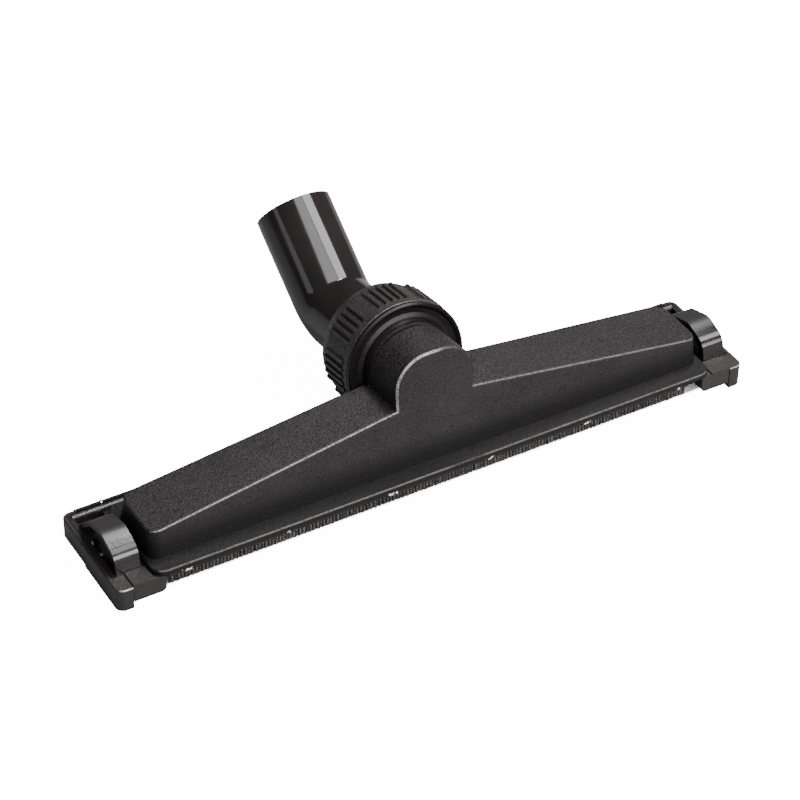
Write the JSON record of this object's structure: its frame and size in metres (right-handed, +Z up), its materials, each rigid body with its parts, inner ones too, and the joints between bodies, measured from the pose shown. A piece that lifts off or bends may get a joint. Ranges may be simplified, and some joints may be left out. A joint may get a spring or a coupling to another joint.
{
  "type": "vacuum floor brush head",
  "caption": "Wide vacuum floor head with a bristle strip along each long edge, a wheel at each end and a swivelling bent socket for the wand.",
  "frame": {"origin": "on the floor under the middle of the whole head, elbow included", "axes": "+X along the head to the right seen from the front, +Y to the rear where the wand socket leaves, +Z up"},
  "size_m": [0.4, 0.1888, 0.1034],
  "materials": {
    "housing_plastic": "fine spark grain, matte",
    "frame_plastic": "satin",
    "cap_plastic": "satin",
    "gloss_plastic": "gloss",
    "wheel_rubber": "matte",
    "steel": "brushed",
    "clip_steel": "bright",
    "bristle": "matte",
    "collar_plastic": "satin",
    "washer_plastic": "satin",
    "tube_plastic": "high gloss"
  },
  "bodies": {
    "head": {"nozzle_housing": "housing_plastic", "base_frame": "frame_plastic", "end_cap_left": "cap_plastic", "end_cap_right": "cap_plastic", "corner_block_left": "frame_plastic", "corner_block_right": "frame_plastic", "wheel_fender_left": "gloss_plastic", "wheel_fender_right": "gloss_plastic", "wheel_axle_left": "steel", "wheel_axle_right": "steel", "strip_holder_front": "frame_plastic", "strip_holder_rear": "frame_plastic", "bristles_front": "bristle", "bristles_rear": "bristle", "strip_clips": "clip_steel", "frame_screws": "steel", "rail_pins": "clip_steel", "neck_collar": "collar_plastic", "swivel_washer": "washer_plastic", "union_nut": "collar_plastic"},
    "elbow": {"elbow_tube": "tube_plastic"},
    "left_wheel": {"wheel_left": "wheel_rubber"},
    "right_wheel": {"wheel_right": "wheel_rubber"}
  },
  "joints": [
    {"name": "elbow_swivel", "type": "hinge", "parent": "head", "child": "elbow", "pos_m": [0, -0.05842, 0.0625], "axis": [0, 0.9863, -0.165], "continuous": true},
    {"name": "left_wheel_spin", "type": "hinge", "parent": "head", "child": "left_wheel", "pos_m": [-0.1876, -0.06042, 0.013], "axis": [1, 0, 0], "continuous": true},
    {"name": "right_wheel_spin", "type": "hinge", "parent": "head", "child": "right_wheel", "pos_m": [0.1876, -0.06042, 0.013], "axis": [1, 0, 0], "continuous": true}
  ]
}
